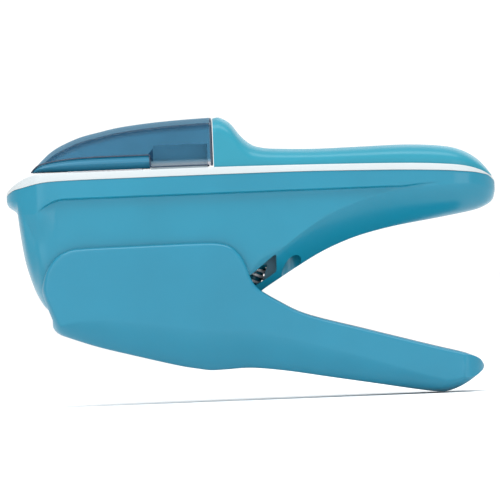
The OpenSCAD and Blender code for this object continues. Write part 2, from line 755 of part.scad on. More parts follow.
// Lever that folds the paper tongue into the blade's window
module fold_arm() {
    color(BLADE) difference() {
        union() {
            cross_pin(fold_pivot, 1.7, fold_arm_half);
            slab([fold_pivot[0] - 0.7, fold_pivot[0] + 0.7], fold_arm_half, [fold_pivot[1], 68.3]);
            slab([fold_pivot[0] - 0.7, fold_pivot[0] + 1.3], fold_arm_half, [66.9, 68.3]);
        }
        cross_pin(fold_pivot, 0.85, 3);
    }
}

module fold_arm_pin() { color(STEEL) cross_pin(fold_pivot, 0.8, 4.9); }

body_shell();
chassis_frame();
grip_cover();
window_cover();
upper_jaw();
upper_die_plate();
lower_die_plate();
guide_frame();
handle_pivot_pin();
rocker_pivot_pin();
case_screws();
jaw_screws();
guide_screws();
return_spring();
carriage_springs();
handle_shell();
drive_bracket();
drive_pin();
drive_pin_clips();
bracket_screws();
rocker_lever();
punch_carriage();
tongue_punch();
slit_blade();
crosshead_pin();
fold_arm();
fold_arm_pin();
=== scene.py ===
import json
import math

import bpy
import numpy as np
from mathutils import Matrix, Vector


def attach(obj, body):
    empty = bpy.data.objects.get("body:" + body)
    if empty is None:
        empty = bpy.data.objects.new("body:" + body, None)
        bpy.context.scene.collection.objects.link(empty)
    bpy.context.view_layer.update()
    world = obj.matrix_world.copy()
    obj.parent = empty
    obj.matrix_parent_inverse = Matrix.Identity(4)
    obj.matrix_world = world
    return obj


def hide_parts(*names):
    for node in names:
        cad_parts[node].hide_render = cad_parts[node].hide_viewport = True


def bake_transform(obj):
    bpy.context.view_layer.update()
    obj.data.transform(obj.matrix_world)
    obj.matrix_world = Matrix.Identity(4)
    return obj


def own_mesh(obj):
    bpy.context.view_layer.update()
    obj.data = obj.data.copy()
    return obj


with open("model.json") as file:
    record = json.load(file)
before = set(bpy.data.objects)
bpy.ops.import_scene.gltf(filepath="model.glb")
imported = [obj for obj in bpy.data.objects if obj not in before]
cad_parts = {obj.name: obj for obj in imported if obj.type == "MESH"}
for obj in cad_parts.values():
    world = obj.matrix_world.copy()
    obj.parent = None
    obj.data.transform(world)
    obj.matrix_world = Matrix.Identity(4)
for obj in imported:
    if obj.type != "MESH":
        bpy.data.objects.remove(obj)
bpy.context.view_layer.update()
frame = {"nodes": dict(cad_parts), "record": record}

# Shapes are worked out in millimetres and turned into metres when a mesh is made.
MM = 0.001
joints = {joint["name"]: joint for joint in frame["record"]["behaviour"]["joints"]}


def hinge_at(name):
    """A hinge's place in the side view, as (x, z) in millimetres."""
    x, _, z = joints[name]["pos_m"]
    return round(x / MM, 3), round(z / MM, 3)


def fixed_end(name):
    """Height, in millimetres, of the end that stays put on the piece that a joint deforms."""
    return round(joints[name]["deforming_nodes"][0]["fixed_end_z_m"] / MM, 3)


# ---- sizes, in millimetres ----
# Heights: paper table, slot above it, how far the rail sits lower, riser, cheeks, flange's lower edge
TABLE_Z = 72.0
SLOT = 0.9
RAIL_DROP = 0.45
RISER_Z = 74.1
CHEEK_Z = 78.9
JAW_TAIL_Z = CHEEK_Z - 0.3
FLANGE_Z = 63.5
# Half widths
FLANGE_HALF = 17.2
PANEL_HALF = 15.4
RAIL_HALF = 17.4
GRIP_HALF = 16.4
WINDOW_HALF = 15.6
JAW_HALF = 15.55
JAW_TAIL_HALF = 6.3
EAR_IN = 15.55
EAR_OUT = 18.0
# Walls
WINDOW_WALL = 1.5
BODY_WALL = 2.2
GRIP_WALL = 1.8
HANDLE_FLOOR = 2.4
# Corner radii in plan, and where the tail corners of each piece end
NOSE_CORNER = 9
TAIL_CORNER = 13
BODY_TAIL = 75.3
RAIL_TAIL = 75.15
HOLLOW_TAIL = 75
GRIP_TAIL = 74.4
HANDLE_TAIL = 69.6
HANDLE_CORNER = 8
# Places along X under the window: its front and back, the paper stop, and the back of the pieces inside
WINDOW_FRONT = -66.9
WINDOW_BACK = -11.9
STOP_X = -30.3
INSIDE_BACK = -12.9
# Pivots, pins and the arcs round the handle's pivot
PIVOT = hinge_at("handle_squeeze")
ROCKER_PIVOT = hinge_at("rocker_turn")
PIN_HOLE = 2.025
BODY_ARC = 11.6
LIP_ARC = 12.1
LIP_END = PIVOT[0] - 1.4
# Return spring: its top as (x, z), and the seats and bore that hold it
SPRING_TOP = (0.9, fixed_end("handle_squeeze"))
SPRING_LENGTH = 30.0
SPRING_LEAN = math.radians(16.7)
SPRING_RADIUS = 3.6
SPRING_WIRE = 1.0
SPRING_TURNS = 15
SPRING_SEAT = 4.5
SPRING_BORE = 4.55
SHELF_TOP = 42.8
# Carriage springs: the top of each as (x, distance from the middle plane, z)
CARRIAGE_SPRING = (-43, 7.4, fixed_end("carriage_lift"))
CARRIAGE_SPRING_LENGTH = 17.64
CARRIAGE_WIRE = 0.5
# Screws: towers as (x, y, height of the screw's seat), jaw screws as (x, y), and the radii of their holes
TOWERS = [(11.6, 8.4, 57.5), (11.6, -8.4, 57.5), (60, 0, 60), (-58.8, 8.6, 58), (-58.8, -8.6, 58)]
GRIP_TOWERS, FRAME_TOWERS = TOWERS[:3], TOWERS[3:]
JAW_SCREWS = [(-22, -3.6), (-22, 3.6)]
WELL_RADIUS = 3.1
POST_RADIUS = 3.4
CLEAR_RADIUS = 1.65
THREAD_RADIUS = 1.35


def arc_z(x, radius):
    """Lower side of a circle round the handle's pivot."""
    return PIVOT[1] - math.sqrt(radius ** 2 - (x - PIVOT[0]) ** 2)


# Side view lines as (x, z)
RAIL_TOP = [(-75, 66.2), (-74.4, 67.1), (-72.4, 68.9), (-69.3, 70.7), (-66.5, 71.6), (-62, 72),
            (-54, 72), (-34, 72), (-10, 72), (20, 71.6), (46, 71), (58.7, 70.3), (66, 69.4), (71, 67.8),
            (74, 65.9), (75, 64.7)]
RAIL_LOW = [(-75, 65.5), (-74, 66.4), (-72.5, 67.3), (-70, 67.9), (-66, 68.85), (-62, 69.4),
            (-54, 69.65), (-34, 69.7), (-6, 69.7), (16, 69.6), (31, 69.3), (46, 68.9), (58.7, 68.3),
            (64, 67.85), (68.6, 67.35), (71.4, 66.75), (72.9, 66.3), (74.2, 65.2), (75, 64.3)]
WINDOW_TOP = [(-67, 72.4), (-65.7, 73.6), (-64.5, 74.8), (-62.9, 76.3), (-61.3, 77.7), (-58.1, 79.7),
              (-52, 82.2), (-45.6, 83.7), (-39.4, 84.9), (-30, 85.9), (-20, 86.5), (-11, 86.8)]
GRIP_TOP = [(-10.9, 86.5), (-9.6, 86.8), (-8.2, 86.5), (-5.5, 84.8), (-2.6, 81), (0.4, 78.3),
            (3.4, 77.1), (8, 76.5), (20, 76), (34, 76.1), (48, 76.2), (58.9, 75.4), (65, 73.9),
            (69.5, 71.3), (72.4, 68.4), (74.2, 66)]
# The nose in plan, as (x, share of the half width)
BOW = [(-75.1, 0.3), (-74.7, 0.46), (-73.8, 0.61), (-72.4, 0.735), (-70.4, 0.835), (-68, 0.912),
       (-66.2, 0.965), (-65.2, 0.988), (-64.2, 0.997), (-63, 1), (-60, 1)]
# The body's underside from nose to tail, as (x, z, corner width, corner height, corner fullness)
KEEL = [(-75, 64, 4, 1, 2), (-74.9, 62.6, 5, 1.6, 2), (-74.2, 61.5, 6, 2.4, 2), (-72.9, 60.6, 7, 3.2, 2),
        (-71.9, 59.6, 8, 4.2, 2), (-71.6, 57.2, 9, 6, 2), (-71.3, 54, 10, 9, 2), (-70.4, 47.2, 10, 14, 2),
        (-69.3, 42, 10, 16, 2), (-67.3, 35.8, 10, 17, 2), (-65, 31.4, 9, 15, 2), (-63, 29.2, 8, 12, 2),
        (-61.5, arc_z(-61.5, BODY_ARC), 5, 6, 2), (-59.5, arc_z(-59.5, BODY_ARC), 5, 5, 2),
        (-57, arc_z(-57, BODY_ARC), 5, 5, 2), (-53, 24, 5, 5, 2), (-14, 24, 5, 5, 2),
        (-8, 25.6, 5.6, 7, 1.6), (-2, 29.8, 6.8, 8.6, 1.3), (2.3, 33.2, 7.6, 9.6, 1.18),
        (8, 36.8, 8, 8.6, 1.12), (14.3, 40.6, 8.2, 9.2, 1.1), (20.6, 44.1, 8.6, 9.8, 1.1),
        (27, 46.9, 9, 10.2, 1.12), (34, 49.2, 9.4, 10.4, 1.14), (44, 51.4, 10, 10.8, 1.2),
        (58, 53.5, 10.4, 10, 1.5), (68, 55.2, 9.4, 8.4, 1.8), (72, 56.6, 7, 6.4, 2), (74.2, 58.2, 5, 4, 2),
        (75, 60.6, 4, 2, 2)]
# The body's inside, as (x, floor z, corner width, corner height)
HOLLOW = [(-70.4, 62.5, 4, 2), (-69.4, 58, 7, 5), (-68.6, 51, 8, 10), (-67.3, 44, 8, 13),
          (-65, 37.5, 8, 14), (-62.5, 33, 7, 11), (-60, 29.6, 5, 6), (-57, 27, 3, 3),
          (-53, 26.2, 3, 3), (-14, 26.2, 3, 3), (-5, 30.2, 4, 4), (2.3, 36.2, 7, 6.6),
          (8, 39.4, 8.4, 7.4), (14.3, 43.1, 8.6, 7.4), (27, 49.2, 8.6, 7.2),
          (44, 53.6, 8.6, 7), (58, 55.8, 8, 6.6), (68, 57.6, 6, 5), (71.5, 60, 4, 3)]
# The handle's outline: top edge from the front to the tail, then the underside back to the front
HANDLE_TOP = [(-64.6, 33), (-65, 35.6), (-64.3, 39.4), (-62.7, 42.8), (-60.2, 45.8), (-57, 47.5),
              (-52.6, 48.2), (-35.6, 48.4), (-16.4, 48.5), (-10.6, 48.2), (-7, 47.1), (-4.2, 44.6),
              (-2.3, 41), (-1.1, 37.4), (0.3, 34.8), (2.8, 32.5), (7.6, 29.5), (13.2, 26.4),
              (19.8, 24), (32.9, 20.3), (44, 17.1), (56, 13.7), (62, 12.1), (66, 10.8), (68.4, 9.5),
              (69.6, 7.5)]
HANDLE_LOW = [(68.9, 6.1), (65.2, 3.2), (62, 1.4), (59, 0.35), (55.8, 0), (48.6, 1), (35, 3.5),
              (21.2, 6), (10.4, 8), (2.1, 9.2), (-3.3, 9.6), (-9, 9.4), (-14.1, 9.3), (-18, 9.9),
              (-24, 11.1), (-36.1, 14.3), (-48.3, 17.7), (-57.4, 20.9), (-60.4, 22.2), (-62, 23.9),
              (-62.8, 26.6), (-63.6, 29.5)]
# Height of the soft roll along the handle's underside, as (x, height)
HANDLE_ROLL = [(-65, 1.8), (-61, 3), (-56, 6), (-48, 9.2), (-25, 12), (-11, 12.4), (10, 10.2),
               (33, 7.6), (57, 4), (64, 2.2), (69.6, 0.5)]
# The handle's channel, as (x, underside z, corner)
HANDLE_HOLLOW = [(-57.4, 21, 5.3), (-48.3, 17.8, 5.8), (-36, 14.3, 5.8), (-24, 11, 5.8), (-14.7, 9.3, 5.8),
                 (-5, 9.4, 5.8), (1, 9.3, 5.8), (7, 8.4, 5.8), (19, 6.2, 5.8), (31.3, 3.9, 5.8),
                 (43.6, 1.7, 5.8), (55.8, 0, 5.8), (59, 0.3, 5.4), (62, 1.4, 4.8), (65.2, 3, 3.8)]


# ---- curves and outlines ----
def smooth(points, steps=8):
    """Catmull-Rom curve through control points."""
    p = np.array(points, float)
    p = np.vstack([2 * p[0] - p[1], p, 2 * p[-1] - p[-2]])
    t = np.linspace(0, 1, steps, endpoint=False)[:, None]
    spans = []
    for a, b, c, d in zip(p, p[1:], p[2:], p[3:]):
        spans.append(0.5 * (2 * b + (c - a) * t + (2 * a - 5 * b + 4 * c - d) * t ** 2
                            + (3 * b - a - 3 * c + d) * t ** 3))
    return np.vstack(spans + [p[-2:-1]])


def even(points, count):
    """The same line with its points evenly spaced, measured in its first two columns."""
    step = np.hypot(np.diff(points[:, 0]), np.diff(points[:, 1]))
    along = np.concatenate([[0], np.cumsum(step)])
    at = np.linspace(0, along[-1], count)
    return np.column_stack([np.interp(at, along, column) for column in points.T])


def height(x, line):
    """Height of a side view line at x."""
    return np.interp(x, line[:, 0], line[:, 1])


def ease(low, high, x):
    """Rises softly from 0 at low to 1 at high."""
    t = np.clip((x - low) / (high - low), 0, 1)
    return t * t * (3 - 2 * t)


def bow_half(x, half):
    """Half width of the casing's nose in plan: a swept front, and a soft corner where the side begins."""
    return half * np.interp(x, bow[:, 0], bow[:, 1])


def rounded_half(x, half, front, front_r, back, back_r):
    """Half width of a plan view whose corners are rounded at both ends."""
    wide = half
    if x < front + front_r:
        wide = half - front_r + math.sqrt(max(0, front_r ** 2 - (front + front_r - x) ** 2))
    if x > back - back_r:
        wide = min(wide, half - back_r + math.sqrt(max(0, back_r ** 2 - (x - back + back_r) ** 2)))
    return wide


def tail_half(x, half, tail):
    """Half width of a piece whose plan is rounded at the tail only."""
    return rounded_half(x, half, FAR_FRONT, 1, tail, TAIL_CORNER)


def window_half(x):
    """Half width of the window, which is rounded at the nose only."""
    return rounded_half(x, WINDOW_HALF, -71, NOSE_CORNER, FAR_BACK, 1)


def corner(wide, low, width, tall, fullness, steps=14):
    """Points (y, z) of a rounded corner, from the side down to the underside."""
    a = np.linspace(0, math.pi / 2, steps)
    y = wide - width + width * np.cos(a) ** (2 / fullness)
    z = low + tall - tall * np.sin(a) ** (2 / fullness)
    return np.column_stack([y, z])


# Places well past the ends and the inside of the tool, for outlines and cuts that run right through
FAR_FRONT = -90
FAR_BACK = 80
ABOVE = 80
HANDLE_ABOVE = 60
# Edges up to this angle, in degrees, are shaded smooth
SMOOTH_ANGLE = 32

bow = smooth(BOW)
rail_top = smooth(RAIL_TOP) - [0, RAIL_DROP]
rail_low = smooth(RAIL_LOW) - [0, RAIL_DROP]
window_top = smooth(WINDOW_TOP)
grip_top = smooth(GRIP_TOP)


# ---- meshes ----
def make_object(name, verts, faces, angle=SMOOTH_ANGLE):
    mesh = bpy.data.meshes.new(name)
    mesh.from_pydata([tuple(v) for v in np.asarray(verts, float) * MM], [], faces)
    mesh.validate()
    obj = bpy.data.objects.new(name, mesh)
    bpy.context.scene.collection.objects.link(obj)
    shade(obj, angle)
    return obj


def shade(obj, angle=SMOOTH_ANGLE):
    """Smooth shading that keeps edges sharper than the angle, in degrees."""
    mesh = obj.data
    mesh.polygons.foreach_set("use_smooth", [True] * len(mesh.polygons))
    mesh.set_sharp_from_angle(angle=math.radians(angle))
    mesh.update()


def loft(name, rings, angle=SMOOTH_ANGLE):
    """Skin over rings with the same number of points, capped at both ends."""
    count = len(rings[0])
    faces = []
    for i in range(len(rings) - 1):
        for j in range(count):
            k = (j + 1) % count
            faces.append((i * count + j, i * count + k, (i + 1) * count + k, (i + 1) * count + j))
    last = (len(rings) - 1) * count
    faces.append(tuple(range(count))[::-1])
    faces.append(tuple(range(last, last + count)))
    obj = make_object(name, np.vstack(rings), faces, angle)
    outward(obj)
    return obj


def outward(obj):
    """Turns a closed mesh's faces outward, judged by the sign of its volume."""
    mesh = obj.data
    mesh.calc_loop_triangles()
    co = np.array([v.co for v in mesh.vertices])
    tri = np.array([t.vertices for t in mesh.loop_triangles])
    a, b, c = co[tri[:, 0]], co[tri[:, 1]], co[tri[:, 2]]
    if np.einsum("ij,ij->i", a, np.cross(b, c)).sum() < 0:
        mesh.flip_normals()


def mirrored(x, half):
    """Ring at x from a half section (y, z) that runs from the right side's top to the middle."""
    right = np.column_stack([np.full(len(half), x), half[:, 0], half[:, 1]])
    left = right[::-1] * [1, -1, 1]
    return np.vstack([right, left])


def box_object(x, y, z):
    """Box between two values along each axis."""
    corners = [(a, b, c) for a in x for b in y for c in z]
    faces = [(0, 1, 3, 2), (4, 6, 7, 5), (0, 4, 5, 1), (2, 3, 7, 6), (0, 2, 6, 4), (1, 5, 7, 3)]
    obj = make_object("cutter", corners, faces)
    outward(obj)
    return obj


def tube_object(start, end, radius, sides=48, end_radius=None):
    """Closed cylinder between two points, or a cone if its end has a radius of its own."""
    start, end = np.array(start, float), np.array(end, float)
    axis = (end - start) / np.linalg.norm(end - start)
    side = np.cross(axis, [1, 0, 0] if abs(axis[0]) < 0.9 else [0, 1, 0])
    side /= np.linalg.norm(side)
    up = np.cross(axis, side)
    a = np.linspace(0, 2 * math.pi, sides, endpoint=False)[:, None]
    ring = np.cos(a) * side + np.sin(a) * up
    return loft("cutter", [start + radius * ring, end + (end_radius or radius) * ring])


def prism_object(outline, low, high):
    """Side view outline (x, z) drawn out across the tool between two values of y."""
    p = np.array(outline, float)
    rings = [np.column_stack([p[:, 0], np.full(len(p), y), p[:, 1]]) for y in (low, high)]
    return loft("cutter", rings)


def combine(obj, tools, operation):
    """Adds, cuts or intersects closed meshes and keeps the result as plain mesh."""
    for tool in tools:
        step = obj.modifiers.new("step", "BOOLEAN")
        step.operation = operation
        step.solver = "EXACT"
        step.object = tool
        bpy.context.view_layer.update()
        depsgraph = bpy.context.evaluated_depsgraph_get()
        result = bpy.data.meshes.new_from_object(obj.evaluated_get(depsgraph))
        obj.modifiers.clear()
        obj.data = result
        bpy.data.objects.remove(tool)
    shade(obj)
    return obj


# ---- body ----
def body_section(x, low, width, tall, fullness):
    """Half section of the body: rim, flange, the step down to the panel, wall, rounded keel and floor."""
    rim = height(x, rail_low) - 0.05
    flange = min(bow_half(x, FLANGE_HALF), tail_half(x, FLANGE_HALF, BODY_TAIL))
    depth = (FLANGE_HALF - PANEL_HALF) * ease(-66.5, -59.5, x) * (1 - ease(40, 60, x))
    step = max(FLANGE_Z - min(4, 0.05 * max(0, -57 - x) ** 2), low + tall + 0.9)
    step = min(step, rim - 0.6)
    top = np.array([[flange - 0.12, rim], [flange - 0.03, rim - 0.05], [flange, rim - 0.3]])
    band_z = np.linspace(rim - 0.3, step + 0.3, 5)[1:]
    band = np.column_stack([np.full(4, flange), band_z])
    lip = np.array([[flange - 0.08 * depth, step + 0.12], [flange - 0.3 * depth, step - 0.02],
                    [flange - 0.75 * depth, step - 0.16], [flange - 0.95 * depth, step - 0.34]])
    tall = min(tall, step - 0.9 - low)
    wall_z = np.linspace(step - 0.6, low + tall, 12)
    draft = (FLANGE_HALF - PANEL_HALF - depth) * (1 - ease(50, 60, wall_z)) * (1 - ease(20, 44, x))
    wall = np.column_stack([flange - depth - draft, wall_z])
    side = wall[-1, 0]
    round_part = corner(side, low, min(width, side - 0.4), tall, fullness)[1:]
    floor_y = round_part[-1, 0] * np.array([0.66, 0.33, 0.02])
    floor = np.column_stack([floor_y, np.full(3, low)])
    return np.vstack([top, band, lip, wall, round_part, floor])


def make_body():
    stations = even(smooth(KEEL, 10), 230)
    body = loft("body_casing", [mirrored(s[0], body_section(*s)) for s in stations])
    rings = []
    for x, low, width, tall in even(smooth(HOLLOW, 5), 70):
        wide = rounded_half(x, PANEL_HALF, -73, NOSE_CORNER, HOLLOW_TAIL, TAIL_CORNER) - BODY_WALL
        fullness = 2 - 0.8 * ease(-5, 8, x)
        floor = corner(wide, low, width, tall, fullness, 7)
        rings.append(mirrored(x, np.vstack([[(wide, ABOVE)], floor])))
    hollow = loft("cutter", rings)
    towers = [tube_object((x, y, 20), (x, y, seat + 1.6), WELL_RADIUS + 1.2) for x, y, seat in TOWERS]
    combine(hollow, towers, "DIFFERENCE")
    shelf = box_object((-5, 7), (-14.4, 14.4), (SPRING_TOP[1], SHELF_TOP))
    rib = prism_object([(0.4, 30), (3.6, 41.5), (5.4, 46), (9, 46), (9, 30)], -5.2, 5.2)
    combine(hollow, [shelf, rib], "DIFFERENCE")
    combine(body, [hollow], "DIFFERENCE")
    linkage_room = box_object((-48.5, -6.6), (-12, 12), (15, 33))
    spring_room = [(-11, 20), (-2.1, 20), (4.2, SPRING_TOP[1]), (-11, SPRING_TOP[1])]
    bore_top, bore_end = spring_line(0.01, -24)
    cuts = [linkage_room, prism_object(spring_room, -5.4, 5.4),
            tube_object(bore_top, bore_end, SPRING_BORE)]
    window = smooth([(-3, 36.6), (0.4, 39.1), (4, 42), (6.4, 43.8)], 4)
    window = np.vstack([window, [(7, 43.9), (7.1, 43.3), (7, 39.4)],
                        smooth([(6.6, 38.5), (3.6, 36.6), (0, 34.6), (-3, 33)], 4)])
    for side in (-1, 1):
        cuts.append(prism_object(window, side * 5.2, side * 19))
    for x, y, seat in TOWERS:
        cuts.append(tube_object((x, y, 10), (x, y, seat), WELL_RADIUS))
        cuts.append(tube_object((x, y, seat - 1), (x, y, 75), CLEAR_RADIUS, 24))
    for (x, z), reach in ((PIVOT, 19), (ROCKER_PIVOT, 14.4)):
        cuts.append(tube_object((x, -reach, z), (x, reach, z), PIN_HOLE, 32))
    post, under, seat, over = spring_line(-11.5, -3, 0.02, 1.2)
    cuts.append(tube_object(under, seat, SPRING_SEAT))
    combine(body, cuts, "DIFFERENCE")
    seat_disc = tube_object(seat, over, SPRING_SEAT)
    spring_post = tube_object(post, over, 2.3, end_radius=2.95)
    combine(body, [seat_disc, spring_post], "UNION")
    return body


# ---- rail: the white frame with the paper table ----
def make_rail():
    """White frame: a rail that shows as a strip, with the paper stop, cheeks and screw bosses on it."""
    def section(x):
        top, low = height(x, rail_top), height(x, rail_low)
        wide = min(bow_half(x, RAIL_HALF), tail_half(x, RAIL_HALF, RAIL_TAIL))
        r = min(0.45, (top - low) * 0.4)
        fine = 0.15
        a = np.linspace(0, math.pi / 2, 5)
        upper = np.column_stack([wide - r + r * np.sin(a), top - r + r * np.cos(a)])
        lower = np.column_stack([wide - fine + fine * np.cos(a), low + fine - fine * np.sin(a)])
        inner_top = [[wide * f, top] for f in (0.02, 0.4, 0.8)]
        inner_low = [[wide * f, low] for f in (0.8, 0.4, 0.02)]
        return np.vstack([inner_top, upper, lower, inner_low])

    turn = np.linspace(0, math.pi / 2, 24)
    nose, tail = -75 + 10 * (1 - np.cos(turn)), 61 + 14 * np.sin(turn)
    stations = np.concatenate([nose, np.linspace(-64, 60, 60), tail])
    rail = loft("frame_rail", [mirrored(x, section(x)) for x in stations])
    stop = [box_object((STOP_X, INSIDE_BACK), (-13.7, 13.7), (71, RISER_Z))]
    for side in (-1, 1):
        cheek = sorted((side * 6.6, side * 10.5))
        stop.append(box_object((-29.5, INSIDE_BACK), cheek, (71.5, CHEEK_Z)))
        stop.append(tube_object((-26.1, side * 9, 75.1), (-26.1, side * 11.1, 75.1), 0.8, 24))
    bosses = [tube_object((x, y, 60.2), (x, y, 70), POST_RADIUS) for x, y, _ in FRAME_TOWERS]
    combine(rail, stop + bosses, "UNION")
    plate_recess = box_object((-56.1, -32.9), (-12.1, 12.1), (70.5, 73))
    punch_slot = box_object((-48, -36.4), (-5, 5), (60, TABLE_Z))
    lightening = [box_object(x, (-11, 11), (60, ABOVE)) for x in ((-4, 7), (16.5, 54))]
    cuts = [plate_recess, punch_slot] + lightening
    cuts += [tube_object((x, y, 55), (x, y, 68), THREAD_RADIUS, 24) for x, y, _ in FRAME_TOWERS]
    cuts += [tube_object((x, y, 55), (x, y, ABOVE), POST_RADIUS + 0.3, 32) for x, y, _ in GRIP_TOWERS]
    cuts += [tube_object((x, y, 55), (x, y, ABOVE), CLEAR_RADIUS, 24) for x, y in JAW_SCREWS]
    combine(rail, cuts, "DIFFERENCE")
    return rail


# ---- covers ----
def dome_section(wide, low, high, width, tall):
    """Half section of a cover, from its rim up the side and over to the middle."""
    over = corner(wide, -high, min(width, wide - 1), min(tall, (high - low) * 0.8), 2.2, 12)
    over[:, 1] *= -1
    sides = np.column_stack([np.full(6, wide), np.linspace(low, over[0, 1], 7)[:-1]])
    middle = np.column_stack([over[-1, 0] * np.array([0.66, 0.33, 0.02]), np.full(3, high)])
    return np.vstack([sides, over, middle])


def window_solid(name, inset, low, back):
    """Solid with the window's outline, or one a wall's thickness inside it."""
    front = WINDOW_FRONT + inset * 1.6
    xs = front + (back - front) * np.linspace(0, 1, 80) ** 1.35
    rings = []
    for x in xs:
        wide = window_half(x) - inset
        high = max(height(x, window_top) - inset, low + 0.25)
        rings.append(mirrored(x, dome_section(wide, low, high, 5 - inset * 0.6, 3.4 - inset * 0.5)))
    return loft(name, rings)


def jaw_edge(drop):
    """The line between the window and the jaw, as (x, z)."""
    line = smooth([(-66.9, 71.95), (-66, 73), (-64.5, 74.1), (-61.4, 74.9), (-56, 75.6), (-48, 75.95),
                   (-30.6, 76)], 6)
    return line - [0, drop]


def make_window():
    """Hollow clear cover, open at the back, where a dark plate closes it: painted shade for the dark look
    of its thick back edge.
    """
    window = window_solid("window_cover_clear", 0, TABLE_Z + 0.15, WINDOW_BACK)
    inner = window_solid("cutter", WINDOW_WALL, TABLE_Z - 3, WINDOW_BACK + 1.9)
    notch = prism_object(np.vstack([[(-75, 60), (-75, 72.7)], jaw_edge(0), [(-30.6, 60)]]), -20, 20)
    combine(window, [inner, notch], "DIFFERENCE")
    return window


def make_window_edges():
    """Dark opaque pieces that paint in the shade seen along the cover's thick edges: the back one, and one
    along each lower side.
    """
    top = height(WINDOW_BACK + 0.3, window_top)
    rings = []
    for x, inset in ((-11.88, 0.02), (-11.7, 0), (-11.4, 0), (-11.2, 0.12)):
        half = dome_section(WINDOW_HALF - inset, TABLE_Z + 0.2 + inset, top - inset, 5, 3.4)
        rings.append(mirrored(x, half))
    plate = loft("window_back_edge", rings)
    edges = [plate]
    front = jaw_edge(-0.05)
    back = np.array([(-30.5, 75.6), (-30.35, 72.6), (-30.1, 72.35), (-29.6, 72.3), (-12.4, 72.3)])
    side = even(np.vstack([front, back]), 160)
    for name, sign in (("window_edge_left", 1), ("window_edge_right", -1)):
        y = np.array([window_half(x) - 0.12 for x in side[:, 0]])
        line = np.column_stack([side[:, 0], sign * y, side[:, 1]])
        edges.append(wire_object(name, line, 0.46, 8))
    return edges


def make_jaw():
    """Low block under the window, bulging between the window's edge and the slot, with its tail."""
    low = TABLE_Z - 0.05
    rings = []
    for x, top in even(jaw_edge(0.2), 70):
        wide = rounded_half(x, JAW_HALF, -70.6, NOSE_CORNER, FAR_BACK, 1)
        top = max(top, low + 0.12)
        t = np.linspace(0, 1, 15)
        upper = 0.5 * np.clip(1 - t / 0.42, 0, 1) ** 2
        lower = 2.3 * np.clip((t - 0.42) / 0.58, 0, 1) ** 1.5
        side = np.column_stack([wide - (upper + lower) * min(1, (top - low) / 2.4), top + (low - top) * t])
        middle = np.array([0.02, 0.5])[:, None] * [wide - 3, 0]
        rings.append(mirrored(x, np.vstack([middle + [0, top], side, middle[::-1] + [0, low]])))
    jaw = loft("jaw_block", rings)
    tail = [(-31.8, RISER_Z), (-31.8, 75.6), (-29, JAW_TAIL_Z), (INSIDE_BACK, JAW_TAIL_Z),
            (INSIDE_BACK, RISER_Z)]
    combine(jaw, [prism_object(tail, -JAW_TAIL_HALF, JAW_TAIL_HALF)], "UNION")
    punch_room = box_object((-48.4, -36.2), (-4.8, 4.8), (60, 79.8))
    die_recess = box_object((-56.1, -33.9), (-11.1, 11.1), (60, TABLE_Z + SLOT + 1.25))
    threads = [tube_object((x, y, 55), (x, y, 77.9), THREAD_RADIUS, 24) for x, y in JAW_SCREWS]
    combine(jaw, [punch_room, die_recess] + threads, "DIFFERENCE")
    return jaw


def make_grip():
    """Hollow palm grip with posts for the case screws."""
    def section(x, inset, low, high):
        wide = tail_half(x, GRIP_HALF, GRIP_TAIL) - inset
        return dome_section(wide, low, high, min(8, wide - 1), min(5, (high - low) * 0.75))

    rings = []
    for x, z in even(grip_top, 130):
        rim = height(x, rail_top)
        rings.append(mirrored(x, section(x, 0, rim + 0.02, max(z, rim + 0.2))))
    grip = loft("palm_grip", rings)
    hollow = []
    for x in np.linspace(-9, 69, 60):
        low = height(x, rail_top) - 1
        thicker = 1.2 * (x < 3) * (x > -7)
        high = height(x, grip_top) - GRIP_WALL - thicker
        hollow.append(mirrored(x, section(x, GRIP_WALL, low, max(high, low + 0.3))))
    combine(grip, [loft("cutter", hollow)], "DIFFERENCE")
    posts, threads = [], []
    for x, y, seat in GRIP_TOWERS:
        near_tail = x > 50
        posts.append(tube_object((x, y, seat + 1.7), (x, y, 74.8 - 1.6 * near_tail), POST_RADIUS))
        threads.append(tube_object((x, y, 50), (x, y, 70.3 + 2 * near_tail), THREAD_RADIUS, 24))
    combine(grip, posts, "UNION")
    combine(grip, threads, "DIFFERENCE")
    return grip


# ---- handle ----
def handle_plan():
    """Upright block with the handle's plan, whose tail has rounded corners."""
    turn = np.linspace(0, math.pi / 2, 20)
    wide = EAR_OUT + 0.1
    right = np.column_stack([HANDLE_TAIL - HANDLE_CORNER * (1 - np.sin(turn)),
                             wide - HANDLE_CORNER * (1 - np.cos(turn))])
    plan = np.vstack([[(-80, wide)], right, right[::-1] * [1, -1], [(-80, -wide)]])
    return loft("cutter", [np.column_stack([plan, np.full(len(plan), z)]) for z in (-5, HANDLE_ABOVE)])


